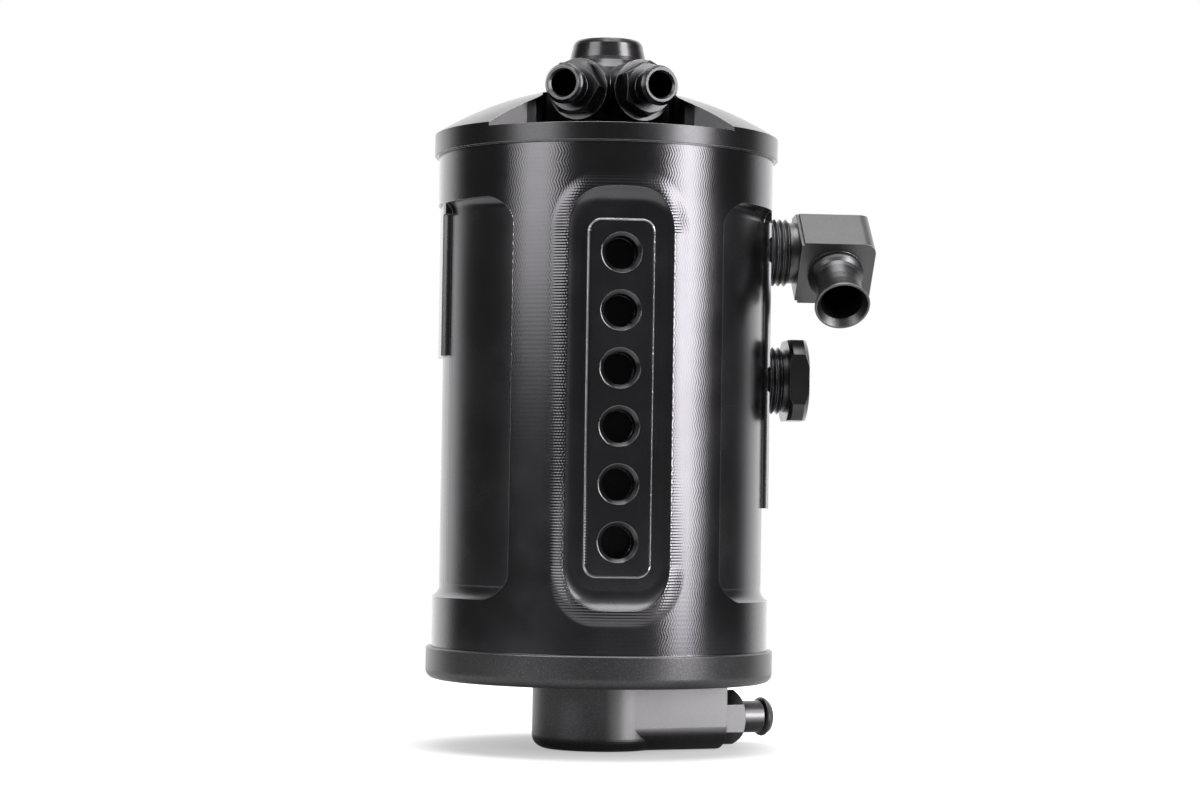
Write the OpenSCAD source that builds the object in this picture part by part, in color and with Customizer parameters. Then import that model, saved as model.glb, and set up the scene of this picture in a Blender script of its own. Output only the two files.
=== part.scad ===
// Oil catch can: a turned aluminium tube with a screwed lid and a screwed sump base.
// The can's axis is Z, the floor is z = 0 and the bracket pad faces -Y. Sizes are in mm.

/* [Can body] */
// Outside diameter of the tube
can_d = 88.9; // [80:0.1:100]
// Length of the tube between the lid and the base cap
tube_h = 129.24; // [118:0.01:160]
// Thickness of the tube's wall
wall_t = 9.55; // [8.6:0.05:12]
// Height of the tube's lower end above the floor
tube_z = 26.4; // [24:0.1:34]
// How far the counterbore at each end cuts into the wall
socket_cut = 4.1; // [3:0.1:4.6]
// Depth of the counterbore at each end
socket_h = 13.0; // [12.5:0.5:18]

/* [Bracket pad] */
// Width of the bracket pad
pad_w = 16.7; // [14:0.1:18]
// Height of the bracket pad
pad_h = 90.0; // [84:0.1:94]
// Corner radius of the bracket pad
pad_corner_r = 3.2; // [1:0.1:6]
// Depth of the pad's face below the tube's outside
pad_cut = 0.8; // [0.4:0.05:1.2]
// Rise of the pad's middle above the relief's middle
pad_rise = 0.28; // [0:0.01:1]
// Pitch of the tapped holes
hole_pitch = 14.58; // [13:0.01:15.5]
// Core diameter of the tapped holes
hole_d = 8.3; // [6:0.1:9]
// Depth of the tapped holes
hole_depth = 7.0; // [5:0.1:7.2]
// Mouth diameter of the chamfer on each hole
hole_mouth_d = 10.3; // [9:0.1:11]

/* [Relief round the pad] */
// Depth of the relief's floor below the tube's outside
relief_depth = 2.5; // [1.6:0.05:3.4]
// Radius of the round-nosed cutter that leaves the outer wall
relief_nose_r = 6.35; // [4:0.05:8]
// Distance of the cutter's upright paths from the pad
relief_side = 3.23; // [2:0.01:4.5]
// Distance of the cutter's level paths from the pad
relief_end = 3.45; // [1.5:0.01:5]
// Corner radius of the cutter's path
relief_corner_r = 6.5; // [6.4:0.05:8]

/* [Side pockets] */
// Depth of the pocket floors below the tube's outside
pocket_depth = 1.85; // [1.4:0.05:3]
// Radius of the cutter's nose in the pockets
pocket_nose_r = 3.2; // [2:0.1:4]
// Distance of a pocket's upright walls in from the tube's side
pocket_inset = 9.09; // [8:0.01:14]
// Distance of the cutter's level paths from the tube's ends
pocket_end = 16.12; // [14:0.01:24]
// Corner radius of a pocket's outline
pocket_corner_r = 7.4; // [4:0.1:10]
// Depth of the port pads' faces below the tube's outside
port_pad_cut = 0.95; // [0.5:0.05:1.2]
// Half the angle between the cutter's paths beside a port pad, in degrees
port_pad_a = 14.5; // [13:0.1:18]
// Distance of the long port pad's foot below the plugged port
long_pad_drop = 33.2; // [20:0.1:36]
// Distance of the short port pad's foot below the inlet's height
short_pad_drop = 28.9; // [20:0.1:36]

/* [Side ports] */
// Outside diameter of the port threads
port_d = 18.0; // [16:0.1:20]
// Pitch of the port threads
port_pitch = 1.5; // [1:0.1:2]
// Distance of the inlet below the tube's upper end
inlet_down = 23.34; // [21:0.01:30]
// Distance of the plugged port below the inlet
port_spacing = 34.3; // [28:0.1:40]

/* [Lid] */
// How far the lid's rim stands out past the tube
lid_over = 1.15; // [0.4:0.05:3]
// Height of the rim's flat band
lid_band_h = 4.76; // [4:0.01:5.6]
// Radius of the dome
dome_r = 84.0; // [70:0.5:100]
// Height of the dome's edge above the tube's upper end
dome_edge_h = 5.76; // [5:0.01:8]
// Turn of the lid's port side from the bracket pad, in degrees
lid_turn = -3.5; // [-180:0.5:180]
// Depth of the lid's and the base cap's spigots
spigot_h = 12.0; // [9:0.5:12.4]
// Thickness of the spigots' wall
spigot_t = 5.95; // [4:0.05:7]
// Half angle between the two outlets, in degrees
outlet_a = 22.0; // [18:0.5:30]
// Distance of the outlets below the neck's top
outlet_down = 7.0; // [6.8:0.1:9]
// Distance of the outlet faces from the can's axis
outlet_face = 22.5; // [18:0.1:28]
// Radius of the round boss behind each outlet
outlet_boss_r = 8.0; // [7.4:0.1:9]
// Height of the lid's neck above the dome
neck_h = 4.145; // [3:0.005:8]
// Radius of the lid's neck
neck_r = 9.6; // [9.3:0.1:10.4]
// Height of the centre cap above the neck
cap_h = 8.6; // [8:0.1:14]
// Radius of the centre cap's rim
cap_r = 12.0; // [11.6:0.1:16]

/* [Hose barbs] */
// Width of the barbs' hexagon across its flats
hex_af = 12.7; // [12:0.1:12.8]
// Outside diameter of the barbs' neck
neck_d = 8.6; // [8:0.1:9.2]
// Outside diameter of the barbs' bead
bead_d = 10.5; // [9.5:0.1:11.2]
// Bore of the barbs
barb_bore_d = 6.6; // [5:0.1:7]
// Outside diameter of the barbs' threaded tail
tail_d = 11.0; // [10:0.1:11.2]
// Thickness of the washer under each barb
washer_t = 0.4; // [0.3:0.1:1]
// Length of the outlets' threaded tails
outlet_tail_l = 6.4; // [5:0.1:7]
// Length of the drain barb's threaded tail
drain_tail_l = 9.0; // [6:0.1:10]

/* [Inlet elbow] */
// Turn of the elbow below the level, in degrees
elbow_a = 40.0; // [0:1:90]
// Distance of the elbow's block from the port pad's face
elbow_gap = 7.5; // [6:0.1:12]
// Length of the elbow's block along the port
elbow_l = 20.0; // [18:0.1:24]
// Height of the elbow's block
elbow_h = 19.5; // [18.5:0.1:22]
// Distance of the block's barb face from the port's axis
elbow_front = 9.1; // [9:0.1:12]
// Distance of the block's rear face from the port's axis
elbow_back = 9.75; // [9:0.05:12]
// Width of the bevel along the block's rear edges
elbow_bevel = 5.15; // [2:0.05:6]
// Rounding of the block's outer corners
elbow_corner_r = 3.2; // [1:0.1:5]
// Length of the elbow's barb
elbow_barb_l = 14.5; // [14:0.1:18]
// Radius of the elbow's bore
elbow_bore_r = 5.5; // [4:0.1:5.6]

/* [Port plug] */
// Distance of the plug's head from the port pad's face
plug_gap = 5.1; // [3:0.1:8]
// Thickness of the plug's head
plug_head_l = 5.2; // [4:0.1:8]
// Width of the plug's square head across its flats
plug_af = 21.4; // [19:0.1:24]
// Radius of the hollow in the plug's shank
plug_bore_r = 5.0; // [3:0.1:6]

/* [Sump] */
// How far the base cap stands out past the tube
base_over = 1.35; // [0.4:0.05:3]
// Height of the base cap's flange
base_flange_h = 8.4; // [7.4:0.1:10]
// Rounding of the base cap's lower edge
base_round_r = 2.5; // [1:0.1:2.8]
// Radius of the round part of the sump
sump_r = 17.4; // [15:0.1:20]
// Rounding under the round part of the sump
sump_round_r = 3.4; // [1:0.1:4]
// Thickness of the sump's wall
sump_t = 4.2; // [3:0.1:6]
// Thickness of the sump's floor
sump_floor_t = 3.4; // [2:0.1:3.6]
// Half the width of the sump's drain block
block_half_w = 17.2; // [15:0.1:17.4]
// Distance of the drain block's end in from the base cap's side
block_inset = 16.2; // [12:0.1:20]
// Rounding under the drain block's sides
block_round_r = 6.2; // [3:0.1:8]
// Direction of the drain, in degrees from the bracket pad
drain_a = 109.5; // [0:0.5:360]
// Height of the drain above the floor
drain_z = 7.42; // [7.4:0.01:9]
// Radius of the drain's collar
collar_r = 7.2; // [6.8:0.1:7.3]
// Length of the drain's collar
collar_l = 4.4; // [2:0.1:8]

/* [Inner stack] */
// Distance of the lower screen above the tube's lower end
screen_rise = 25.6; // [20:0.1:32]
// Height of the mesh pack
mesh_h = 18.0; // [10:0.5:30]
// Thickness of the screens and the splash plate
screen_t = 2.0; // [1:0.1:3]
// Distance of the splash plate above the lower screen
splash_rise = 60.0; // [56:0.5:66]
// Gap between the splash plate's edge and the bore
splash_gap = 8.9; // [4:0.1:14]
// Radius of the tie rod
rod_r = 2.5; // [2:0.1:3.5]

/* [Clearances] */
// Radial play of the moving fits
running_gap = 0.05; // [0.02:0.01:0.1]
// Gap between the inner pieces and the bore
inner_gap = 0.3; // [0.1:0.05:0.6]

/* [Hidden] */
cut_past = 8;
can_r = can_d / 2;
bore_r = can_r - wall_t;
socket_r = bore_r + socket_cut;
spigot_r = socket_r - running_gap;
spigot_in_r = spigot_r - spigot_t;
tube_top = tube_z + tube_h;
tube_mid = tube_z + tube_h / 2;
pad_face = can_r - pad_cut;
pad_z = tube_mid + pad_rise;
relief_floor = can_r - relief_depth;
relief_half_w = pad_w / 2 + relief_side;
relief_half_h = pad_h / 2 + relief_end;
pocket_floor_r = can_r - pocket_depth;
pocket_path_r = pocket_floor_r + pocket_nose_r;
pocket_half_w = can_r - pocket_inset;
pocket_half_h = tube_h / 2 - pocket_end;
pocket_sweep = 128;
pass_depth = 0.03;
port_r = port_d / 2;
port_pad_face = can_r - port_pad_cut;
inlet_z = tube_top - inlet_down;
plug_z = inlet_z - port_spacing;
shank_x = bore_r + 1.5;
elbow_x = port_pad_face + elbow_gap;
plug_x = port_pad_face + plug_gap;
lid_r = can_r + lid_over;
lid_floor = tube_top + lid_band_h;
dome_z = tube_top + dome_edge_h - sqrt(pow(dome_r, 2) - pow(lid_r, 2));
neck_top = dome_z + dome_r + neck_h;
skirt_h = 0.8;
outlet_z = neck_top - outlet_down;
hex_r = hex_af / 2 / cos(30);
passage_r = barb_bore_d / 2 + inner_gap;
tail_play = 0.6;
seal_wire_r = 1.15;
seal_r = spigot_r - seal_wire_r - 0.02;
seal_in = 4.9;
groove_r = spigot_r - 2 * seal_wire_r - running_gap;
groove_half_h = seal_wire_r + inner_gap / 2;
base_r = can_r + base_over;
base_z = tube_z - base_flange_h;
block_l = base_r - block_inset;
sump_bore_r = sump_r - sump_t;
low_screen_z = tube_z + screen_rise;
splash_z = low_screen_z + splash_rise;
splash_r = bore_r - splash_gap;
sleeve_r = rod_r + 2;
hole_step = (bore_r - inner_gap) * 0.26;
valve_bore_r = 7.0;
seat_z = tube_top + 2.6;
seat_t = 2.3;
poppet_z = seat_z + seat_t + 0.1;
valve_top = neck_top - 1;
guide_r = 1.5;
$fn = 96;

// A cylinder between two heights
module drum(r, z0, z1) {
    translate([0, 0, z0]) cylinder(r = r, h = z1 - z0);
}

// A ring between two heights
module ring(r_out, r_in, z0, z1) {
    translate([0, 0, z0])
        rotate_extrude()
            translate([r_in, 0]) square([r_out - r_in, z1 - z0]);
}

// A round wire bent to a circle
module wire_ring(r, wire_r, z) {
    translate([0, 0, z]) rotate_extrude() translate([r, 0]) circle(r = wire_r, $fn = 24);
}

// The groove for a seal round a spigot
module seal_groove(z) {
    ring(spigot_r + 1, groove_r, z - groove_half_h, z + groove_half_h);
}

// Turns a child that points along +X to a direction measured from the bracket pad
module toward(a, z) {
    translate([0, 0, z]) rotate([0, 0, a - 90]) children();
}

// A turned shape along +X, from a list of [x, radius] points closed on the axis
module turned(points) {
    rotate([0, 90, 0])
        rotate_extrude()
            polygon(concat([[0, points[0][0]]],
                           [for (p = points) [p[1], p[0]]],
                           [[0, points[len(points) - 1][0]]]));
}

// Thread crests between two stations, as [x, radius] points
function crests(x0, x1, r, pitch) =
    [for (i = [0 : floor((x1 - x0) / pitch) - 1])
     for (k = [0, 1, 2])
         [x0 + (i + [0.05, 0.5, 0.95][k]) * pitch, r - (k == 1 ? 0 : 0.55 * pitch)]];

// An upright rounded rectangle, solid from one distance to another along -Y
module upright_slab(w, h, r, y0, y1) {
    translate([0, -y0, 0]) rotate([90, 0, 0])
        linear_extrude(height = y1 - y0)
            union() {
                square([w - 2 * r, h], center = true);
                square([w, h - 2 * r], center = true);
                for (x = [-1, 1], z = [-1, 1])
                    translate([x * (w / 2 - r), z * (h / 2 - r)]) circle(r = r, $fn = 48);
            }
}

// What the round-nosed cutter takes away round the bracket pad
module pad_relief() {
    cy = relief_floor + relief_nose_r;
    in_w = relief_half_w - relief_corner_r;
    in_h = relief_half_h - relief_corner_r;
    translate([0, 0, tube_mid]) {
        difference() {
            union() {
                upright_slab(2 * relief_half_w, 2 * relief_half_h, relief_corner_r,
                             relief_floor, can_r + cut_past);
                for (x = [-1, 1]) {
                    translate([x * relief_half_w, -cy, -in_h]) cylinder(r = relief_nose_r, h = 2 * in_h);
                    translate([-in_w, -cy, x * relief_half_h])
                        rotate([0, 90, 0]) cylinder(r = relief_nose_r, h = 2 * in_w);
                }
                for (q = [[1, 1, 0], [-1, 1, 90], [-1, -1, 180], [1, -1, 270]])
                    translate([q[0] * in_w, -cy, q[1] * in_h])
                        rotate([90, 0, 0]) rotate([0, 0, q[2]])
                            rotate_extrude(angle = 90)
                                translate([relief_corner_r, 0]) circle(r = relief_nose_r);
            }
            translate([0, 0, pad_rise])
                upright_slab(pad_w, pad_h, pad_corner_r, relief_floor - cut_past, pad_face);
        }
    }
}

// The outline of a side pocket, cut along +X
module pocket_outline() {
    half_h = pocket_half_h + pocket_nose_r;
    in_w = pocket_half_w - pocket_corner_r;
    in_h = half_h - pocket_corner_r;
    rotate([90, 0, 90])
        linear_extrude(height = can_r + cut_past)
            union() {
                square([2 * pocket_half_w, 2 * in_h], center = true);
                square([2 * in_w, 2 * half_h], center = true);
                for (u = [-1, 1], v = [-1, 1]) translate([u * in_w, v * in_h]) circle(r = pocket_corner_r);
            }
}

// What the cutter takes away for one side pocket, facing +X, round a port pad
module side_pocket(pad_low) {
    low = tube_mid - pocket_half_h;
    high = tube_mid + pocket_half_h;
    foot = pad_low - (port_pad_face - pocket_floor_r);
    reach = can_r + 2 * cut_past;
    difference() {
        intersection() {
            rotate([0, 0, -pocket_sweep / 2])
                rotate_extrude(angle = pocket_sweep)
                    union() {
                        translate([pocket_floor_r, low]) square([cut_past, high - low]);
                        for (z = [low, high])
                            translate([pocket_path_r - 2 * pass_depth, z]) circle(r = pocket_nose_r, $fn = 48);
                    }
            translate([0, 0, tube_mid]) pocket_outline();
        }
        translate([0, 0, foot])
            linear_extrude(height = high + cut_past - foot)
                polygon([[0, 0], reach * [cos(port_pad_a), -sin(port_pad_a)],
                         reach * [cos(port_pad_a), sin(port_pad_a)]]);
    }
    for (s = [-1, 1])
        rotate([0, 0, s * port_pad_a])
            translate([pocket_path_r - pass_depth, 0, low])
                cylinder(r = pocket_nose_r, h = high - low, $fn = 48);
    translate([port_pad_face, -pad_w / 2 - 1.5, foot - 1])
        cube([cut_past, pad_w + 3, high + pocket_nose_r - foot + 1]);
}

// Six holes in a line on the bracket pad
module pad_holes() {
    for (i = [-2.5 : 1 : 2.5])
        translate([0, -pad_face, pad_z + i * hole_pitch]) rotate([-90, 0, 0]) {
            translate([0, 0, -1]) cylinder(r = hole_d / 2, h = hole_depth + 1, $fn = 48);
            translate([0, 0, -0.01])
                cylinder(r1 = hole_mouth_d / 2, r2 = hole_d / 2, h = (hole_mouth_d - hole_d) / 2, $fn = 48);
        }
}

// The tube with its milled pad, pockets, ports and end sockets
module can_body() {
    color([0.10, 0.10, 0.11])
        difference() {
            ring(can_r, bore_r, tube_z, tube_top);
            drum(socket_r, tube_z - 1, tube_z + socket_h);
            drum(socket_r, tube_top - socket_h, tube_top + 1);
            pad_relief();
            pad_holes();
            side_pocket(plug_z - long_pad_drop);
            rotate([0, 0, 180]) side_pocket(inlet_z - short_pad_drop);
            for (z = [inlet_z, plug_z])
                translate([bore_r - cut_past, 0, z])
                    rotate([0, 90, 0]) cylinder(r = port_r, h = wall_t + 2 * cut_past, $fn = 64);
            ring(bore_r + 1.2, bore_r - 1, low_screen_z - 1.5, low_screen_z);
        }
}

// Half of the lid's cut-away, as plan points from the middle to the rim
function cut_side() = [[12, -6.0], [16.2, -6.6], [17.5, -9], [17.5, -19.5], [17.9, -22.0],
                       [19.2, -24.3], [21.6, -26.4], [31.5, -33.3], [44, -42.0]];

// The part of the lid that is cut away in front of the outlets
module lid_cut() {
    side = cut_side();
    n = len(side);
    translate([0, 0, lid_floor])
        linear_extrude(height = dome_r)
            polygon(concat([for (p = side) p], [[44, -dome_r], [-44, -dome_r]],
                           [for (i = [0 : n - 1]) [-side[n - 1 - i][0], side[n - 1 - i][1]]]));
}

// The lid: rim, dome, cut-away, outlet bosses, neck, valve bore and spigot
module lid() {
    color([0.10, 0.10, 0.11])
        rotate([0, 0, lid_turn])
            difference() {
                union() {
                    difference() {
                        union() {
                            difference() {
                                intersection() {
                                    drum(lid_r, tube_top, dome_z + dome_r + 1);
                                    translate([0, 0, dome_z]) sphere(r = dome_r, $fn = 180);
                                }
                                lid_cut();
                            }
                            for (s = [-1, 1])
                                toward(s * outlet_a, outlet_z)
                                    rotate([0, 90, 0]) cylinder(r = outlet_boss_r, h = outlet_face);
                        }
                        drum(cap_r + 2, neck_top - skirt_h, neck_top + cut_past);
                    }
                    ring(spigot_r, spigot_in_r, tube_top - spigot_h, tube_top + 0.01);
                    drum(neck_r, lid_floor - 1, neck_top);
                }
                seal_groove(tube_top - seal_in);
                ring(lid_r + 1, lid_r - 0.35, tube_top - 0.5, tube_top + 0.35);
                drum(valve_bore_r, tube_top - 1, valve_top);
                drum(9.2, tube_top - 1, seat_z + seat_t + 0.1);
                ring(10.2, 8, seat_z - 1.4, seat_z - 0.4);
                drum(guide_r + running_gap, valve_top - 1, neck_top + 1);
                for (s = [-1, 1])
                    toward(s * outlet_a, outlet_z) rotate([0, 90, 0]) {
                        cylinder(r = passage_r, h = outlet_face + 1, $fn = 48);
                        translate([0, 0, outlet_face - outlet_tail_l - tail_play])
                            cylinder(r = tail_d / 2, h = outlet_tail_l + cut_past, $fn = 48);
                    }
            }
}

// The centre cap's side from its rim to its top, as shares of its radius and its height
function cap_side() = [[1, -0.047], [0.975, 0.047], [0.917, 0.186], [0.875, 0.302], [0.846, 0.419],
                       [0.8125, 0.628], [0.792, 0.744], [0.775, 0.849], [0.75, 0.93],
                       [0.708, 0.988], [0.667, 1]];

// The turned cap on the lid's neck
module centre_cap() {
    stem_r = guide_r + 0.7;
    stem_h = 5;
    color([0.12, 0.12, 0.13])
        translate([0, 0, neck_top])
            rotate_extrude()
                polygon(concat([[0, stem_h], [stem_r, stem_h], [stem_r, 0], [neck_r, 0],
                                [neck_r, -skirt_h], [cap_r - 0.4, -skirt_h]],
                               [for (p = cap_side()) [p[0] * cap_r, p[1] * cap_h]], [[0, cap_h]]));
}

// The ring that seals the lid
module lid_seal() {
    color([0.03, 0.03, 0.03]) wire_ring(seal_r, seal_wire_r, tube_top - seal_in);
}

// The drain block, drawn along +X from the can's axis
module drain_block() {
    r = block_round_r;
    rotate([90, 0, 90])
        linear_extrude(height = block_l)
            union() {
                translate([-block_half_w, r]) square([2 * block_half_w, base_z - r + 0.5]);
                translate([-block_half_w + r, 0]) square([2 * (block_half_w - r), base_z]);
                for (s = [-1, 1]) translate([s * (block_half_w - r), r]) circle(r = r);
            }
}

// The base cap with its spigot, sump and drain port
module base_cap() {
    q = base_round_r;
    p = sump_round_r;
    color([0.11, 0.11, 0.12])
        difference() {
            union() {
                rotate_extrude()
                    polygon(concat([[0, base_z]],
                                   [for (a = [0 : 9 : 90]) [base_r - q + q * sin(a),
                                                            base_z + q - q * cos(a)]],
                                   [[base_r, tube_z - 0.3], [base_r - 0.3, tube_z], [spigot_r, tube_z],
                                    [spigot_r, tube_z + spigot_h], [0, tube_z + spigot_h]]));
                rotate_extrude()
                    polygon(concat([[0, 0]],
                                   [for (a = [0 : 9 : 90]) [sump_r - p + p * sin(a), p - p * cos(a)]],
                                   [[sump_r, base_z + 1], [0, base_z + 1]]));
                toward(drain_a, 0) drain_block();
                toward(drain_a, drain_z)
                    rotate([0, 90, 0]) translate([0, 0, block_l - 0.1])
                        cylinder(r = collar_r, h = collar_l + 0.1);
            }
            drum(spigot_in_r, tube_z - 4, tube_z + spigot_h + 1);
            translate([0, 0, tube_z - 4.4]) cylinder(r1 = sump_bore_r, r2 = sump_bore_r + 0.8, h = 1);
            drum(sump_bore_r, sump_floor_t, tube_z);
            seal_groove(tube_z + seal_in);
            toward(drain_a, drain_z) rotate([0, 90, 0]) {
                cylinder(r = passage_r, h = block_l, $fn = 48);
                translate([0, 0, block_l + collar_l - drain_tail_l - tail_play])
                    cylinder(r = tail_d / 2, h = drain_tail_l + cut_past, $fn = 48);
            }
        }
}

// The ring that seals the base cap
module base_seal() {
    color([0.03, 0.03, 0.03]) wire_ring(seal_r, seal_wire_r, tube_z + seal_in);
}

// A beaded hose barb along +X: the hexagon starts at 0 and the tail points back
module hose_barb(hex_l, barb_l, tail_l, hex_turn) {
    tip = hex_l + barb_l;
    difference() {
        union() {
            intersection() {
                rotate([0, 90, 0]) rotate([0, 0, hex_turn]) cylinder(r = hex_r, h = hex_l, $fn = 6);
                turned([[0, hex_r], [hex_l - 0.65, hex_r], [hex_l, hex_af / 2 - 0.1]]);
            }
            turned([[-tail_l, tail_d / 2 - 0.6], [-tail_l + 0.6, tail_d / 2], [0, tail_d / 2],
                    [0.5, tail_d / 2 - 1]]);
            turned([[hex_l - 0.5, neck_d / 2], [tip - 2.6, neck_d / 2],
                    [tip - 2.3, bead_d / 2 - 0.45], [tip - 1.9, bead_d / 2 - 0.1],
                    [tip - 1.5, bead_d / 2], [tip - 1.1, bead_d / 2 - 0.1],
                    [tip - 0.7, bead_d / 2 - 0.42], [tip, neck_d / 2 + 0.1]]);
        }
        turned([[-tail_l - 1, barb_bore_d / 2], [tip - 0.6, barb_bore_d / 2],
                [tip + 0.1, barb_bore_d / 2 + 0.6], [tip + 1, barb_bore_d / 2 + 0.6]]);
    }
}

// The left outlet
module left_outlet() {
    color([0.12, 0.12, 0.12])
        toward(lid_turn - outlet_a, outlet_z) translate([outlet_face + washer_t, 0, 0])
            hose_barb(4.2, 6.8, outlet_tail_l, 30);
}

// The right outlet
module right_outlet() {
    color([0.12, 0.12, 0.12])
        toward(lid_turn + outlet_a, outlet_z) translate([outlet_face + washer_t, 0, 0])
            hose_barb(4.2, 6.8, outlet_tail_l, 0);
}

// A flat sealing washer under a hexagon, along +X
module face_washer() {
    rotate([0, 90, 0]) ring(hex_af / 2 - 0.1, tail_d / 2, 0, washer_t);
}

// The washer under the left outlet
module left_outlet_seal() {
    color([0.05, 0.05, 0.05])
        toward(lid_turn - outlet_a, outlet_z) translate([outlet_face, 0, 0]) face_washer();
}

// The washer under the right outlet
module right_outlet_seal() {
    color([0.05, 0.05, 0.05])
        toward(lid_turn + outlet_a, outlet_z) translate([outlet_face, 0, 0]) face_washer();
}

// The drain's hose barb
module drain_barb() {
    color([0.13, 0.13, 0.13])
        toward(drain_a, drain_z) translate([block_l + collar_l + washer_t, 0, 0])
            hose_barb(6.6, 9.4, drain_tail_l, 0);
}

// The washer under the drain barb
module drain_seal() {
    color([0.05, 0.05, 0.05])
        toward(drain_a, drain_z) translate([block_l + collar_l, 0, 0]) face_washer();
}

// The block of the elbow in plan, with its two outer corners rounded
module elbow_plan() {
    r = elbow_corner_r;
    union() {
        translate([elbow_x, -elbow_h / 2 + 0.8]) square([elbow_l - r, elbow_h - 1.6]);
        translate([elbow_x + 0.8, -elbow_h / 2]) square([elbow_l - r - 0.8, elbow_h]);
        translate([elbow_x + 1, -elbow_h / 2 + r]) square([elbow_l - 1, elbow_h - 2 * r]);
        for (s = [-1, 1])
            translate([elbow_x + elbow_l - r, s * (elbow_h / 2 - r)]) circle(r = r, $fn = 48);
    }
}

// The inlet elbow: threaded shank, square block and flared barb
module inlet_elbow() {
    mid_x = elbow_x + elbow_l / 2;
    back = elbow_back;
    cut = elbow_bevel;
    color([0.12, 0.12, 0.13])
        translate([0, 0, inlet_z]) rotate([elbow_a, 0, 0])
            difference() {
                union() {
                    turned(concat([[shank_x, port_r - 1.4]],
                                  crests(shank_x + 0.6, elbow_x - 1.4, port_r, port_pitch),
                                  [[elbow_x - 1.2, port_r - 0.9], [elbow_x + 1, port_r - 0.9]]));
                    intersection() {
                        translate([0, back, 0]) rotate([90, 0, 0])
                            linear_extrude(height = back + elbow_front) elbow_plan();
                        rotate([90, 0, 90])
                            translate([0, 0, elbow_x - 1])
                                linear_extrude(height = elbow_l + 2)
                                    polygon([[-elbow_front, -elbow_h / 2], [back - cut, -elbow_h / 2],
                                             [back, -elbow_h / 2 + cut], [back, elbow_h / 2 - cut],
                                             [back - cut, elbow_h / 2], [-elbow_front, elbow_h / 2]]);
                    }
                    translate([mid_x, -elbow_front + 0.5, 0]) rotate([0, 0, -90])
                        turned([[0, 7.4], [1.9, 7.4], [2.5, 7.1], [3.4, 6.5], [4.6, 6.15],
                                [7.5, 6.0], [10.0, 6.1], [12.0, 6.45], [13.6, 6.95],
                                [elbow_barb_l + 0.1, 7.35], [elbow_barb_l + 0.5, 7.25]]);
                }
                rotate([0, 90, 0]) translate([0, 0, shank_x - 1])
                    cylinder(r = elbow_bore_r, h = mid_x - shank_x + 1, $fn = 48);
                translate([mid_x, 0, 0]) sphere(r = elbow_bore_r, $fn = 48);
                translate([mid_x, 0, 0]) rotate([0, 0, -90])
                    turned([[0, elbow_bore_r], [elbow_front + elbow_barb_l - 1.9, elbow_bore_r],
                            [elbow_front + elbow_barb_l + 0.2, elbow_bore_r + 1.4],
                            [elbow_front + elbow_barb_l + 2, elbow_bore_r + 2.1]]);
            }
}

// The plug in the lower port: threaded shank and chamfered square head
module port_plug() {
    head_r = plug_af / 2;
    color([0.12, 0.12, 0.13])
        translate([0, 0, plug_z])
            difference() {
                union() {
                    turned(concat([[shank_x, port_r - 1.4]],
                                  crests(shank_x + 0.6, plug_x - 0.6, port_r, port_pitch),
                                  [[plug_x - 0.4, port_r - 0.6], [plug_x + 1, port_r - 0.6]]));
                    intersection() {
                        rotate([0, 90, 0]) rotate([0, 0, 45])
                            translate([0, 0, plug_x]) cylinder(r = head_r / cos(45), h = plug_head_l, $fn = 4);
                        turned([[plug_x, head_r + 0.9], [plug_x + 0.9, head_r + 1.9],
                                [plug_x + plug_head_l - 1.2, head_r + 1.9],
                                [plug_x + plug_head_l, head_r + 0.5]]);
                    }
                }
                rotate([0, 90, 0]) translate([0, 0, shank_x - 1])
                    cylinder(r = plug_bore_r, h = plug_x - shank_x - 1.6, $fn = 48);
            }
}

// The clip that carries the inner stack
module lower_clip() {
    color([0.35, 0.35, 0.37])
        difference() {
            ring(bore_r + 1.1, bore_r - 3, low_screen_z - 1.45, low_screen_z - 0.05);
            toward(0, low_screen_z - 3) translate([bore_r - cut_past, -4, 0]) cube([2 * cut_past, 8, 6]);
        }
}

// A plate with rings of holes that lies on a height
module screen_plate(z0) {
    difference() {
        drum(bore_r - inner_gap, z0, z0 + screen_t);
        drum(rod_r + 0.1, z0 - 1, z0 + screen_t + 1);
        for (k = [1 : 3])
            for (i = [0 : 6 * k + 1])
                rotate([0, 0, i * 360 / (6 * k + 2)])
                    translate([k * hole_step, 0, z0 - 1]) cylinder(r = 2.4, h = screen_t + 2, $fn = 24);
    }
}

// The screen under the mesh
module lower_screen() {
    color([0.55, 0.56, 0.58]) screen_plate(low_screen_z);
}

// The block that stands for knitted mesh
module mesh_pack() {
    z0 = low_screen_z + screen_t + 0.05;
    color([0.60, 0.60, 0.62])
        difference() {
            drum(bore_r - inner_gap - 0.2, z0, z0 + mesh_h);
            drum(rod_r + 0.1, z0 - 1, z0 + mesh_h + 1);
            for (k = [1 : 3])
                for (i = [0 : 6 * k + 1])
                    rotate([0, 0, i * 360 / (6 * k + 2) + 8])
                        translate([k * hole_step, 0, z0 - 1]) cylinder(r = 1.4, h = mesh_h + 2, $fn = 16);
        }
}

// The screen over the mesh
module upper_screen() {
    color([0.55, 0.56, 0.58]) screen_plate(low_screen_z + screen_t + mesh_h + 0.1);
}

// The rod through the stack
module tie_rod() {
    color([0.50, 0.50, 0.52]) drum(rod_r, low_screen_z - 7, splash_z + 9);
}

// A small hexagon nut on the rod
module rod_nut(z0) {
    difference() {
        translate([0, 0, z0]) cylinder(r = 4.6, h = 4, $fn = 6);
        drum(rod_r + running_gap, z0 - 1, z0 + 5);
    }
}

// The nut under the stack
module lower_nut() {
    color([0.50, 0.50, 0.52]) rod_nut(low_screen_z - 4.02);
}

// The nut over the splash plate
module upper_nut() {
    color([0.50, 0.50, 0.52]) rod_nut(splash_z + screen_t + 0.02);
}

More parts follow.
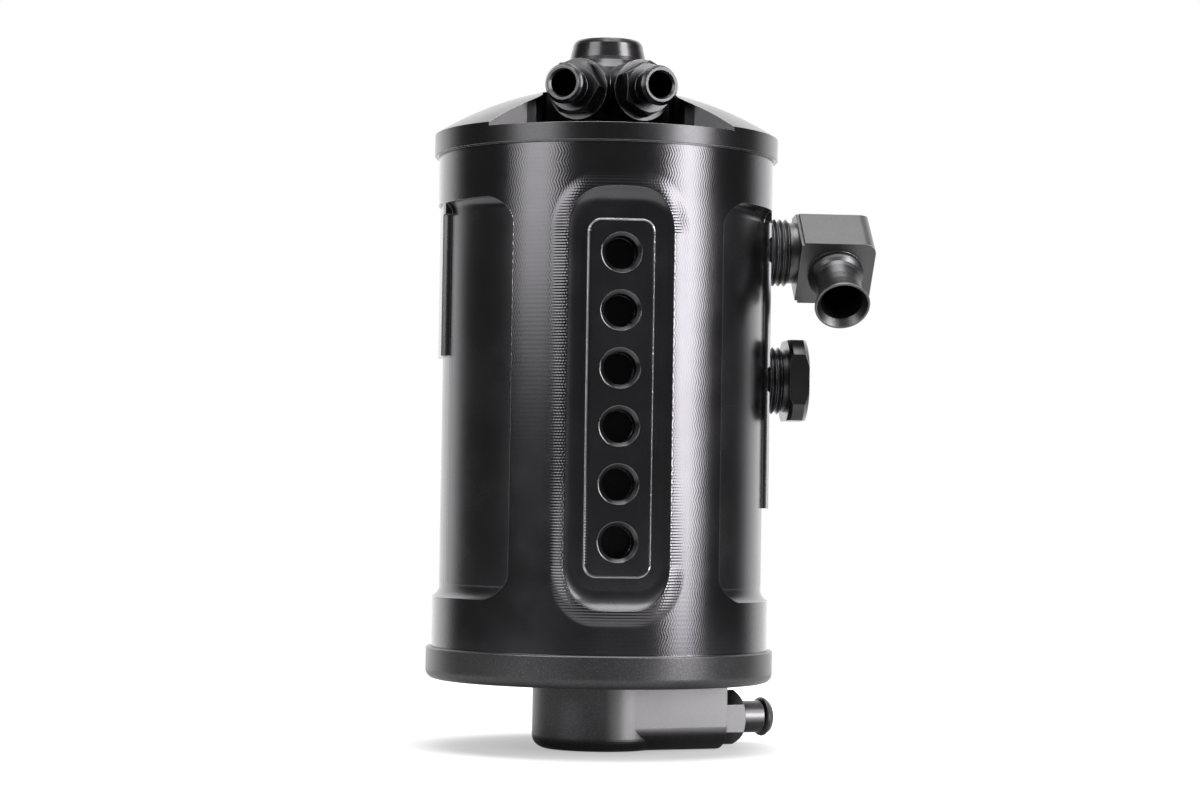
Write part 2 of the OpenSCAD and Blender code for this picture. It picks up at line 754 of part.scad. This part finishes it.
// The plate that turns the inflow aside, on a sleeve round the rod
module splash_plate() {
    z0 = low_screen_z + 2 * screen_t + mesh_h + 0.15;
    color([0.58, 0.59, 0.60])
        difference() {
            union() {
                drum(splash_r, splash_z, splash_z + screen_t);
                drum(sleeve_r, z0, splash_z + 1);
            }
            drum(rod_r + 0.1, z0 - 1, splash_z + screen_t + 1);
            for (i = [0 : 5])
                rotate([0, 0, i * 60]) translate([splash_r - 8, 0, splash_z - 1])
                    cylinder(r = 2, h = screen_t + 2, $fn = 24);
        }
}

// The valve's seat, a washer in the lid's lower counterbore
module valve_seat() {
    color([0.62, 0.60, 0.50]) ring(9.15, 4.2, seat_z, seat_z + seat_t);
}

// The clip that holds the seat
module seat_clip() {
    color([0.35, 0.35, 0.37])
        difference() {
            ring(10.0, 7.6, seat_z - 1.35, seat_z - 0.45);
            translate([6, -2, seat_z - 2]) cube([6, 4, 3]);
        }
}

// The poppet that closes the seat
module valve_poppet() {
    color([0.70, 0.60, 0.32])
        rotate_extrude()
            polygon([[0, poppet_z], [5.4, poppet_z], [5.6, poppet_z + 0.3], [5.6, poppet_z + 1.6],
                     [3.0, poppet_z + 1.8], [guide_r, poppet_z + 2.2], [guide_r, valve_top + 2.0],
                     [0, valve_top + 2.0]]);
}

// One ring of points of the spring's wire at an angle along its coil
function coil_ring(a, r, w, z, n) =
    [for (i = [0 : n - 1])
         [(r + w * cos(i * 360 / n)) * cos(a), (r + w * cos(i * 360 / n)) * sin(a),
          z + w * sin(i * 360 / n)]];

// The spring over the poppet
module valve_spring() {
    turns = 6;
    steps = turns * 20;
    n = 8;
    w = 0.35;
    z0 = poppet_z + 1.7 + w;
    z1 = valve_top - 0.05 - w;
    points = [for (k = [0 : steps])
                  each coil_ring(k * 360 * turns / steps, 4.6, w, z0 + (z1 - z0) * k / steps, n)];
    sides = [for (k = [0 : steps - 1]) for (i = [0 : n - 1])
                 [k * n + i, k * n + (i + 1) % n, (k + 1) * n + (i + 1) % n, (k + 1) * n + i]];
    first = [[for (i = [0 : n - 1]) n - 1 - i]];
    last = [[for (i = [0 : n - 1]) steps * n + i]];
    color([0.60, 0.60, 0.62]) polyhedron(points, concat(first, sides, last), convexity = 8);
}

can_body();
lid();
centre_cap();
lid_seal();
base_cap();
base_seal();
left_outlet();
right_outlet();
left_outlet_seal();
right_outlet_seal();
inlet_elbow();
port_plug();
drain_barb();
drain_seal();
lower_clip();
lower_screen();
mesh_pack();
upper_screen();
tie_rod();
lower_nut();
upper_nut();
splash_plate();
valve_seat();
seat_clip();
valve_poppet();
valve_spring();
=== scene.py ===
import bpy
from math import cos, pi, radians, sin
from mathutils import Matrix, Vector


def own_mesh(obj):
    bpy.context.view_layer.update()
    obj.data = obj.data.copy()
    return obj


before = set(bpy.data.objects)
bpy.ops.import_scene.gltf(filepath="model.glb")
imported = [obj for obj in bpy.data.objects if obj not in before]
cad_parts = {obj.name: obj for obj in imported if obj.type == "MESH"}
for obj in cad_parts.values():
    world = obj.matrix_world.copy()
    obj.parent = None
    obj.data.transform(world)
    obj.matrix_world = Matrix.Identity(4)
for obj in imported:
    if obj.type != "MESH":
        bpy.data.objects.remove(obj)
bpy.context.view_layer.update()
bpy.context.scene.view_settings.view_transform = "Standard"
print("frame loaded:", len(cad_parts), "nodes")

mm = 0.001          # the frame is in metres
tiny = 1e-6         # keeps a division from failing where a length is 0


class Wire:
    # A node's output that can be used in sums
    def __init__(self, shader, socket):
        self.shader = shader
        self.socket = socket

    def __add__(self, other):
        return self.shader.maths("ADD", self, other)

    def __radd__(self, other):
        return self.shader.maths("ADD", other, self)

    def __sub__(self, other):
        return self.shader.maths("SUBTRACT", self, other)

    def __rsub__(self, other):
        return self.shader.maths("SUBTRACT", other, self)

    def __mul__(self, other):
        return self.shader.maths("MULTIPLY", self, other)

    def __rmul__(self, other):
        return self.shader.maths("MULTIPLY", other, self)

    def __truediv__(self, other):
        return self.shader.maths("DIVIDE", self, other)

    def __rtruediv__(self, other):
        return self.shader.maths("DIVIDE", other, self)


class Shader:
    # The nodes of one material or of the world
    def __init__(self, owner):
        owner.use_nodes = True
        self.tree = owner.node_tree
        self.tree.nodes.clear()

    def add(self, kind, settings=None, inputs=None, out=0):
        node = self.tree.nodes.new(kind)
        for name, value in (settings or {}).items():
            setattr(node, name, value)
        for name, value in (inputs or {}).items():
            if isinstance(value, Wire):
                self.tree.links.new(value.socket, node.inputs[name])
            else:
                node.inputs[name].default_value = value
        return Wire(self, node.outputs[out]) if node.outputs else None

    def maths(self, operation, first, second=None):
        inputs = {0: first} if second is None else {0: first, 1: second}
        return self.add("ShaderNodeMath", {"operation": operation}, inputs)

    def clip(self, value, low, high):
        # Rises smoothly from 0 at low to 1 at high
        return self.add("ShaderNodeMapRange", {"interpolation_type": "SMOOTHSTEP"},
                        {"Value": value, "From Min": low, "From Max": high})

    # In the two below, the socket numbers are those of the Mix node's colour and vector forms
    def blend(self, amount, low, high):
        return self.add("ShaderNodeMix", {"data_type": "RGBA"}, {0: amount, 6: low, 7: high}, out=2)

    def lean(self, amount, low, high):
        return self.add("ShaderNodeMix", {"data_type": "VECTOR"}, {0: amount, 4: low, 5: high}, out=1)

    def dot(self, first, second):
        return self.add("ShaderNodeVectorMath", {"operation": "DOT_PRODUCT"},
                        {0: first, 1: second}, out="Value")

    def part(self, vector, axis):
        return self.add("ShaderNodeSeparateXYZ", {}, {0: vector}, out=axis)

    def place(self):
        return self.add("ShaderNodeTexCoord", out="Object")

    def facing(self):
        return self.add("ShaderNodeNewGeometry", out="Normal")

    def noise(self, place, scale, detail=2.0, rough=0.5):
        return self.add("ShaderNodeTexNoise", {},
                        {"Vector": place, "Scale": scale, "Detail": detail, "Roughness": rough})

    def bevel(self, radius, samples=4):
        return self.add("ShaderNodeBevel", {"samples": samples}, {"Radius": radius})

    def bump(self, height, distance=1.0, normal=None):
        # A height in metres goes with the distance of 1
        inputs = {"Height": height, "Distance": distance}
        if normal is not None:
            inputs["Normal"] = normal
        return self.add("ShaderNodeBump", {}, inputs)


def colour(rgb):
    return (*rgb, 1.0)


# The camera's place was fitted to the outlines of the can and to the six holes
view = {
    "place": (-0.07705, -0.77880, 0.06432),
    "turn": -5.65,              # the camera stands this far left of the bracket pad's normal, in degrees
    "pan": -0.051,
    "tilt": 2.026,
    "roll": 0.88,
    "focal": 88.404,
    "sensor": 36.0,
    "near": 10 * mm,
}


def placeCamera():
    turn = Matrix.Rotation(radians(view["turn"]), 3, "Z")
    pan, tilt, roll = (radians(view[k]) for k in ("pan", "tilt", "roll"))
    ahead = Vector((sin(pan) * cos(tilt), cos(pan) * cos(tilt), sin(tilt)))
    flatRight = Vector((cos(pan), -sin(pan), 0))
    flatUp = flatRight.cross(ahead)
    right = turn @ (flatRight * cos(roll) + flatUp * sin(roll))
    up = turn @ (flatUp * cos(roll) - flatRight * sin(roll))
    back = turn @ -ahead
    data = bpy.data.cameras.new("camera")
    data.lens = view["focal"]
    data.sensor_width = view["sensor"]
    data.sensor_fit = "HORIZONTAL"
    data.clip_start = view["near"]
    camera = bpy.data.objects.new("camera", data)
    bpy.context.scene.collection.objects.link(camera)
    axes = Matrix((right, up, back)).transposed().to_4x4()
    camera.matrix_world = Matrix.Translation(view["place"]) @ axes
    bpy.context.scene.camera = camera


# Angles are taken round the can from the camera, in degrees, positive to the right
lamps = {
    "keyRight": {
        "angle": 57,
        "height": 0.50,
        "away": 1.2,
        "wide": 0.50,
        "tall": 1.1,
        "power": 20,
        "tint": (1.0, 0.975, 1.0),
    },
    "fillLeft": {
        "angle": -47,
        "height": 0.62,
        "away": 1.2,
        "wide": 0.72,
        "tall": 0.9,
        "power": 9,
        "tint": (1.0, 1.0, 1.0),
    },
    "overhead": {
        "angle": 20,
        "height": 1.3,
        "away": 0.25,
        "wide": 0.9,
        "tall": 0.9,
        "power": 13,
        "tint": (1.0, 1.0, 1.0),
    },
}
lampAim = 0.09


def direction(angle):
    # The level direction from the can towards an angle round it
    a = radians(angle + view["turn"])
    return Vector((sin(a), -cos(a), 0))


def placeLamps():
    aim = Vector((0, 0, lampAim))
    for name, lamp in lamps.items():
        data = bpy.data.lights.new(name, "AREA")
        data.shape = "RECTANGLE"
        data.size = lamp["wide"]
        data.size_y = lamp["tall"]
        data.energy = lamp["power"]
        data.color = lamp["tint"]
        place = direction(lamp["angle"]) * lamp["away"] + Vector((0, 0, lamp["height"]))
        light = bpy.data.objects.new(name, data)
        light.location = place
        light.rotation_euler = (aim - place).to_track_quat("-Z", "Y").to_euler()
        bpy.context.scene.collection.objects.link(light)


# A dim room in front, a white wall behind and a grey ceiling
room = {
    "front": 0.12,
    "back": 1.7,
    "wallFrom": 0.42,           # cosine of the angle from straight behind where the wall begins
    "wallTo": 0.72,             # and where it has its full brightness
    "top": 0.5,                 # what the ceiling adds
    "topFrom": 0.35,            # sine of the angle above level where the ceiling begins
    "topTo": 0.9,
}


def makeWorld():
    world = bpy.data.worlds.new("room")
    bpy.context.scene.world = world
    s = Shader(world)
    way = s.add("ShaderNodeTexCoord", out="Generated")
    wall = s.clip(s.dot(way, direction(180)), room["wallFrom"], room["wallTo"])
    above = s.clip(s.part(way, "Z"), room["topFrom"], room["topTo"])
    level = room["front"] + wall * (room["back"] - room["front"]) + above * room["top"]
    seen = s.add("ShaderNodeLightPath", out="Is Camera Ray")
    level = level + seen * (1.0 - level)
    glow = s.add("ShaderNodeBackground", {}, {"Color": (1, 1, 1, 1), "Strength": level})
    s.add("ShaderNodeOutputWorld", {}, {"Surface": glow})


paper = {
    "radius": 0.30,
    "sides": 96,
    "below": 0.1 * mm,          # the paper lies this far below the can's foot
    "tone": (0.36, 0.36, 0.36),
    "liftNear": 0.40,           # weaker by the can, so that its shadow stays
    "liftFar": 1.0,             # and full on the open floor, which keeps it white
    "liftFrom": 34 * mm,
    "liftTo": 75 * mm,
    "metalLift": 0.5,           # how much of the far floor's lift the metal shows
}


def makeFloor():
    corners = [2 * pi * a / paper["sides"] for a in range(paper["sides"])]
    rim = [(paper["radius"] * cos(a), paper["radius"] * sin(a), 0) for a in corners]
    mesh = bpy.data.meshes.new("floor")
    mesh.from_pydata(rim, [], [tuple(range(paper["sides"]))])
    floor = bpy.data.objects.new("floor", mesh)
    bpy.context.scene.collection.objects.link(floor)
    floor.location.z = -paper["below"]
    mat = bpy.data.materials.new("paperFloor")
    s = Shader(mat)
    seen = s.add("ShaderNodeLightPath", out="Is Camera Ray")
    mirrored = s.add("ShaderNodeLightPath", out="Is Glossy Ray")
    plain = s.add("ShaderNodeBsdfDiffuse", {}, {"Color": colour(paper["tone"])})
    reach = s.add("ShaderNodeVectorMath", {"operation": "LENGTH"}, {0: s.place()}, out="Value")
    far = s.clip(reach, paper["liftFrom"], paper["liftTo"])
    amount = paper["liftNear"] + far * (paper["liftFar"] - paper["liftNear"])
    strength = seen * amount + mirrored * far * paper["metalLift"]
    lift = s.add("ShaderNodeEmission", {}, {"Color": (1, 1, 1, 1), "Strength": strength})
    both = s.add("ShaderNodeAddShader", {}, {0: plain, 1: lift})
    s.add("ShaderNodeOutputMaterial", {}, {"Surface": both})
    mesh.materials.append(mat)


# What the finishes share

def metalFinish(s, tone, roughness, normal):
    bsdf = s.add("ShaderNodeBsdfPrincipled", {},
                 {"Base Color": tone, "Metallic": 1.0, "Roughness": roughness, "Normal": normal})
    s.add("ShaderNodeOutputMaterial", {}, {"Surface": bsdf})


wearAndEdgeGlint = {
    "patchDetail": 3.0,
    "patchNoise": 0.6,
    # the last two set the mask of the painted edge highlights
    "edgeFrom": 0.015,
    "edgeTo": 0.10,
}


def wear(s, place, look):
    # Soft patches in which a finish differs a little
    cloud = s.noise(place, look["patchScale"], wearAndEdgeGlint["patchDetail"], wearAndEdgeGlint["patchNoise"])
    return s.clip(cloud, look["patchFrom"], look["patchTo"])


def nearSharpEdge(s, soft):
    # Near a sharp edge the bevelled normal turns away from the face's own; this sets where a painted edge
    # highlight goes
    match = s.dot(soft, s.facing())
    return s.clip(1 - match, wearAndEdgeGlint["edgeFrom"], wearAndEdgeGlint["edgeTo"])


blackAnodised = {
    "tone": (0.074, 0.0725, 0.077),
    "toneLight": (0.092, 0.090, 0.095),
    "roughness": 0.17,
    "satinRoughness": 0.25,
    "radius": 44.45 * mm,
    "facet": 0.72 * mm,         # width of the flats that the cutter left round the tube
    "tilt": 8.0,                # how far the surface turns across each flat, in degrees
    "rowHeight": 4.7 * mm,
    "rowJitter": 0.3,
    "lean": 0.9 * mm,
    "wanderScale": 160.0,
    "wander": 0.5 * mm,
    "pass": 1.15 * mm,          # pitch of the level passes up the tube
    "passTilt": 0.003,
    "skinFrom": 0.16 * mm,      # deeper than this the surface is milled, not turned
    "skinTo": 0.10 * mm,
    "skinUpright": 0.3,         # and so is a face whose normal rises more than this
    "edge": 0.16 * mm,
    # how strongly a painted highlight lightens the sharp edges
    "edgeHighlightShare": 0.45,
    "softEdge": 1.6 * mm,       # the rolled edge of the relief
    "softSamples": 8,
    "softFrom": 1.2 * mm,
    "softTo": 2.2 * mm,
    "grainScale": 3000.0,
    "grainDetail": 1.0,
    "grainDepth": 0.004 * mm,
    "patchScale": 40.0,
    "patchFrom": 0.35,
    "patchTo": 0.75,
    "patchRoughness": 0.04,
}

# The relief round the bracket pad, as the tube's milling left it
padMilling = {
    "front": -30 * mm,
    "middle": 91.02 * mm,
    "halfWide": 11.58 * mm,
    "halfTall": 48.45 * mm,
    "corner": 6.5 * mm,
    "edgeSide": 2.0 * mm,       # from the cutter's path to the relief's edge
    "edgeEnd": 5.05 * mm,
    "lip": 4.2 * mm,            # width of the rolled lip outside the edge
    "lipRise": 0.36 * mm,
    "lipMiddle": 0.5,           # the lip is lower halfway up
    "middleFrom": 12 * mm,
    "middleTo": 42 * mm,
    "lipRight": 0.45,           # and on the right
    "rightFrom": 2 * mm,
    "rightTo": 9 * mm,
    "lipCorner": 2.4,           # and higher round the corners
    "pass": 0.74 * mm,          # pitch of the level passes across the lip
    "passDepth": 0.030 * mm,
}

# The pad's raised rim, lightened along its line as a painted highlight
padBorderAndHighlight = {
    "halfWide": 8.35 * mm,
    "halfTall": 45.0 * mm,
    "corner": 3.2 * mm,
    "width": 0.24 * mm,
    "rise": 0.12 * mm,
    # near-white painted highlight along the rim
    "tone": (0.85, 0.84, 0.86),
}

padHoles = {
    "count": 6,
    "middle": 91.30 * mm,
    "pitch": 14.58 * mm,
    "radius": 4.22 * mm,
    "face": 43.65 * mm,
    "chamfer": 0.9 * mm,
    "fade": 0.2 * mm,
    "threadPitch": 1.5 * mm,
    "threadDepth": 0.25 * mm,
    # near-black painted shade inside the tapped holes
    "tone": (0.02, 0.02, 0.02),
}


def turnedSkin(s, place, x, y, z):
    # Flats run up the tube in a zigzag, row by row, so the highlight breaks up
    look = blackAnodised
    around = s.maths("ARCTAN2", y, x)
    row = z / look["rowHeight"]
    rowNumber = s.maths("FLOOR", row)
    inRow = row - rowNumber
    chance = s.add("ShaderNodeTexWhiteNoise", {"noise_dimensions": "1D"}, {"W": rowNumber})
    zigzag = s.maths("ABSOLUTE", inRow - 0.5 - look["rowJitter"] * (chance - 0.5))
    wander = s.noise(place, look["wanderScale"])
    shift = zigzag * (2 * look["lean"]) + chance * look["facet"] + wander * look["wander"]
    steps = (around * look["radius"] + shift) / look["facet"]
    flat = s.maths("FLOOR", steps) + 0.5
    angle = around + (flat - steps) * radians(look["tilt"])
    passes = s.maths("SINE", z * (2 * pi / look["pass"]))
    return s.add("ShaderNodeCombineXYZ", {},
                 {0: s.maths("COSINE", angle), 1: s.maths("SINE", angle), 2: passes * look["passTilt"]})


def roundedReach(s, across, along, shape):
    # How far a point lies from the core of a rounded oblong, and the height's part of that
    side = s.maths("MAXIMUM", across - (shape["halfWide"] - shape["corner"]), 0.0)
    end = s.maths("MAXIMUM", along - (shape["halfTall"] - shape["corner"]), 0.0)
    return s.maths("SQRT", side * side + end * end), end


def insideHoles(s, x, y, z, front):
    # The two middle holes lie half a pitch above and below the middle
    fromMiddle = z - padHoles["middle"]
    offCentre = fromMiddle / padHoles["pitch"] + 0.5
    offCentre = (offCentre - s.maths("ROUND", offCentre)) * padHoles["pitch"]
    fromHole = s.maths("SQRT", x * x + offCentre * offCentre)
    mouth = padHoles["chamfer"] - padHoles["face"]
    deep = s.clip(y, mouth, mouth + padHoles["fade"])
    halfBand = padHoles["count"] / 2 * padHoles["pitch"]
    inBand = s.maths("LESS_THAN", s.maths("ABSOLUTE", fromMiddle), halfBand)
    return s.maths("LESS_THAN", fromHole, padHoles["radius"]) * deep * inBand * front


def tubeFinish():
    look = blackAnodised
    mat = bpy.data.materials.new("blackAnodised")
    s = Shader(mat)
    place = s.place()
    x, y, z = (s.part(place, axis) for axis in "XYZ")
    milled = turnedSkin(s, place, x, y, z)

    # The rolled lip, by the distance outside the relief's edge
    front = s.maths("LESS_THAN", y, padMilling["front"])
    across = s.maths("ABSOLUTE", x)
    along = s.maths("ABSOLUTE", z - padMilling["middle"])
    reach, end = roundedReach(s, across, along, padMilling)
    endShare = end / (reach + tiny)
    outside = reach - padMilling["corner"] - padMilling["edgeSide"]
    outside = outside - endShare * endShare * (padMilling["edgeEnd"] - padMilling["edgeSide"])
    lip = (1 - s.clip(outside, 0.0, padMilling["lip"])) * front
    middle = s.clip(along, padMilling["middleFrom"], padMilling["middleTo"])
    rise = padMilling["lipMiddle"] + middle * (1 - padMilling["lipMiddle"])
    rightSide = s.clip(x, padMilling["rightFrom"], padMilling["rightTo"])
    rise = rise * (1 - rightSide * (1 - padMilling["lipRight"]))
    rise = rise + endShare * (1 - endShare) * padMilling["lipCorner"]
    level = s.maths("SINE", z * (2 * pi / padMilling["pass"]))
    lipHeight = lip * rise * padMilling["lipRise"] + level * lip * rise * padMilling["passDepth"]
    lipped = s.bump(lipHeight, normal=milled)

    # The pad's rim, which carries a painted highlight, and the tapped holes, whose insides are painted shade
    rimReach = roundedReach(s, across, along, padBorderAndHighlight)[0]
    fromRim = s.maths("ABSOLUTE", rimReach - padBorderAndHighlight["corner"])
    rimAndHighlightMask = (1 - s.clip(fromRim, padBorderAndHighlight["width"] * 0.5, padBorderAndHighlight["width"])) * front
    inHole = insideHoles(s, x, y, z, front)
    thread = s.maths("SINE", y * (2 * pi / padHoles["threadPitch"]))

    # The milled surfaces are satin, with a rolled edge round the relief
    narrow = s.bevel(look["edge"])
    wide = s.bevel(look["softEdge"], look["softSamples"])
    nearEdge = (1 - s.clip(s.maths("ABSOLUTE", outside), look["softFrom"], look["softTo"])) * front
    soft = s.lean(nearEdge, narrow, wide)
    grain = s.noise(place, look["grainScale"], look["grainDetail"])
    height = grain * look["grainDepth"] + inHole * thread * padHoles["threadDepth"] + rimAndHighlightMask * padBorderAndHighlight["rise"]
    satin = s.bump(height, normal=soft)

    # The turned skin is what lies at the tube's full radius
    away = s.maths("SQRT", x * x + y * y)
    skin = s.clip(away, look["radius"] - look["skinFrom"], look["radius"] - look["skinTo"])
    upright = s.maths("ABSOLUTE", s.part(s.facing(), "Z"))
    skin = skin * s.maths("LESS_THAN", upright, look["skinUpright"])
    normal = s.lean(skin, satin, lipped)

    patches = wear(s, place, look)
    tone = s.blend(patches, colour(look["tone"]), colour(look["toneLight"]))
    # Painted shade: the tapped holes are near-black inside
    tone = s.blend(inHole, tone, colour(padHoles["tone"]))
    # Painted highlights: near-white along the sharp edges and along the pad's rim
    tone = s.blend(nearSharpEdge(s, narrow) * look["edgeHighlightShare"], tone, colour(padBorderAndHighlight["tone"]))
    tone = s.blend(rimAndHighlightMask, tone, colour(padBorderAndHighlight["tone"]))
    smoother = skin * (look["satinRoughness"] - look["roughness"])
    metalFinish(s, tone, look["satinRoughness"] + patches * look["patchRoughness"] - smoother, normal)
    return mat


# The two blasted finishes below start from this one
darkSatin = {
    "tone": (0.054, 0.0535, 0.056),
    "toneLight": (0.088, 0.087, 0.090),
    "roughness": 0.27,
    "grain": 0.26 * mm,
    "grainNoise": 0.7,
    "grainDepth": 0.009 * mm,
    "speckFrom": 0.48,
    "speckTo": 0.74,
    "speckShare": 0.7,
    "patchScale": 60.0,
    "patchFrom": 0.3,
    "patchTo": 0.8,
    "patchShare": 0.2,
    "patchRoughness": 0.05,
    "edge": 0.15 * mm,
    # how strongly, and in what colour, a painted highlight lightens the sharp edges
    "edgeHighlightShare": 0.8,
    "edgeHighlightTone": (0.40, 0.40, 0.41),
}

greyBlasted = dict(darkSatin, **{
    "tone": (0.098, 0.097, 0.099),
    "toneLight": (0.160, 0.158, 0.161),
    "roughness": 0.36,
    "grain": 0.30 * mm,
    "grainDepth": 0.014 * mm,
    # the colour of the painted edge highlight
    "edgeHighlightTone": (0.45, 0.45, 0.46),
})

# The sump and its drain: the flat that faces the key lamp is lightened as a painted highlight, paler than the
# turned rim
sumpBlasted = dict(darkSatin, **{
    "toneLight": (0.12, 0.118, 0.121),
    "roughness": 0.33,
    "grain": 0.30 * mm,
    "grainDepth": 0.012 * mm,
    # the colour of the painted highlight on the flat
    "flatHighlightTone": (0.150, 0.148, 0.150),
    "flatWay": (0.33381, -0.94264, 0.0),    # the way the milled flat faces
    "flatFrom": 0.94,
    "flatTo": 0.99,
    "flatPlain": 0.8,           # how much of the flat's tone shows between the specks
    "flatTop": 17.0 * mm,       # the flat reaches up to this height
})


def blastedFinish(name, look):
    mat = bpy.data.materials.new(name)
    s = Shader(mat)
    place = s.place()
    soft = s.bevel(look["edge"])
    grain = s.noise(place, 1 / look["grain"], rough=look["grainNoise"])
    normal = s.bump(grain, look["grainDepth"], soft)
    specks = s.clip(grain, look["speckFrom"], look["speckTo"])
    patches = wear(s, place, look)
    lighter = specks * look["speckShare"] + patches * look["patchShare"]
    tone = s.blend(lighter, colour(look["tone"]), colour(look["toneLight"]))
    # Painted highlight: the flat facing the key lamp is lightened
    if "flatHighlightTone" in look:
        flat = s.clip(s.dot(s.facing(), look["flatWay"]), look["flatFrom"], look["flatTo"])
        low = s.maths("LESS_THAN", s.part(place, "Z"), look["flatTop"])
        share = look["flatPlain"] + specks * (1 - look["flatPlain"])
        tone = s.blend(flat * low * share, tone, colour(look["flatHighlightTone"]))
    # Painted highlight: the sharp edges are lightened to stand in for their catch-lights
    tone = s.blend(nearSharpEdge(s, soft) * look["edgeHighlightShare"], tone, colour(look["edgeHighlightTone"]))
    metalFinish(s, tone, look["roughness"] + patches * look["patchRoughness"], normal)
    return mat


turnedCap = {
    "tone": (0.060, 0.059, 0.061),
    "toneLight": (0.085, 0.084, 0.086),
    "roughness": 0.22,
    "ringPitch": 0.35 * mm,
    "ringSlope": 0.7,           # how much the rings follow the radius as well as the height
    "ringDepth": 0.0015 * mm,
    "patchScale": 90.0,
    "patchFrom": 0.3,
    "patchTo": 0.8,
    "patchRoughness": 0.04,
    "edge": 0.12 * mm,
    # how strongly, and in what colour, a painted highlight lightens the sharp edges
    "edgeHighlightShare": 0.8,
    "edgeHighlightTone": (0.35, 0.35, 0.36),
}


def turnedFinish():
    look = turnedCap
    mat = bpy.data.materials.new("turnedCap")
    s = Shader(mat)
    place = s.place()
    x, y, z = (s.part(place, axis) for axis in "XYZ")
    away = s.maths("SQRT", x * x + y * y)
    rings = s.maths("SINE", (away * look["ringSlope"] + z) * (2 * pi / look["ringPitch"]))
    soft = s.bevel(look["edge"])
    normal = s.bump(rings, look["ringDepth"], soft)
    patches = wear(s, place, look)
    tone = s.blend(patches, colour(look["tone"]), colour(look["toneLight"]))
    # Painted highlight: the sharp edges are lightened to stand in for their catch-lights
    tone = s.blend(nearSharpEdge(s, soft) * look["edgeHighlightShare"], tone, colour(look["edgeHighlightTone"]))
    metalFinish(s, tone, look["roughness"] + patches * look["patchRoughness"], normal)
    return mat


# The plain metals: the three below start from this one
springSteel = {
    "tone": (0.42, 0.42, 0.44),
    "roughness": 0.35,
    "grainScale": 1500.0,
    "grainDepth": 0.005 * mm,
    "patchScale": 80.0,
    "patchFrom": 0.3,
    "patchTo": 0.8,
    "patchTone": 0.85,          # the share of the tone that the darker patches keep
    "patchRoughness": 0.06,
}

stainless = dict(springSteel, **{
    "tone": (0.56, 0.56, 0.58),
    "roughness": 0.3,
    "grainScale": 2500.0,
})

plainAluminium = dict(springSteel, **{
    "tone": (0.68, 0.69, 0.71),
    "roughness": 0.38,
    "grainScale": 1800.0,
})

valveBrass = dict(springSteel, **{
    "tone": (0.78, 0.60, 0.30),
    "roughness": 0.3,
    "grainScale": 1200.0,
})


def plainMetal(name, look):
    mat = bpy.data.materials.new(name)
    s = Shader(mat)
    place = s.place()
    grain = s.noise(place, look["grainScale"])
    patches = wear(s, place, look)
    darker = tuple(look["patchTone"] * c for c in look["tone"])
    tone = s.blend(patches, colour(look["tone"]), colour(darker))
    roughness = look["roughness"] + patches * look["patchRoughness"]
    metalFinish(s, tone, roughness, s.bump(grain, look["grainDepth"]))
    return mat


sealRubber = {
    "tone": (0.012, 0.012, 0.012),
    "toneLight": (0.03, 0.03, 0.03),
    "roughness": 0.6,
    "grainRoughness": 0.1,
    "grainScale": 2500.0,
    "grainDepth": 0.01 * mm,
}


def sealFinish():
    look = sealRubber
    mat = bpy.data.materials.new("sealRubber")
    s = Shader(mat)
    grain = s.noise(s.place(), look["grainScale"])
    tone = s.blend(grain, colour(look["tone"]), colour(look["toneLight"]))
    roughness = look["roughness"] + grain * look["grainRoughness"]
    bsdf = s.add("ShaderNodeBsdfPrincipled", {},
                 {"Base Color": tone, "Roughness": roughness, "Normal": s.bump(grain, look["grainDepth"])})
    s.add("ShaderNodeOutputMaterial", {}, {"Surface": bsdf})
    return mat


def dress(material, *names):
    for name in names:
        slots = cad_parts[name].material_slots
        for slot in slots:
            slot.material = material
        if not slots:
            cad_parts[name].data.materials.append(material)


placeCamera()
placeLamps()
makeWorld()
makeFloor()
print("stage ready")

dress(tubeFinish(), "can_body")
dress(blastedFinish("darkSatin", darkSatin), "lid", "left_outlet", "right_outlet", "port_plug")
dress(blastedFinish("greyBlasted", greyBlasted), "inlet_elbow")
dress(blastedFinish("sumpBlasted", sumpBlasted), "base_cap", "drain_barb")
dress(turnedFinish(), "centre_cap")
dress(sealFinish(), "lid_seal", "base_seal", "left_outlet_seal", "right_outlet_seal", "drain_seal")
dress(plainMetal("springSteel", springSteel), "lower_clip", "seat_clip", "valve_spring")
dress(plainMetal("stainless", stainless), "mesh_pack", "tie_rod", "lower_nut", "upper_nut")
dress(plainMetal("plainAluminium", plainAluminium), "lower_screen", "upper_screen", "splash_plate")
dress(plainMetal("valveBrass", valveBrass), "valve_seat", "valve_poppet")
print("finishes ready")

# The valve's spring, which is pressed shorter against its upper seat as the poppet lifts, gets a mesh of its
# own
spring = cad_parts["valve_spring"]
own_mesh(spring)
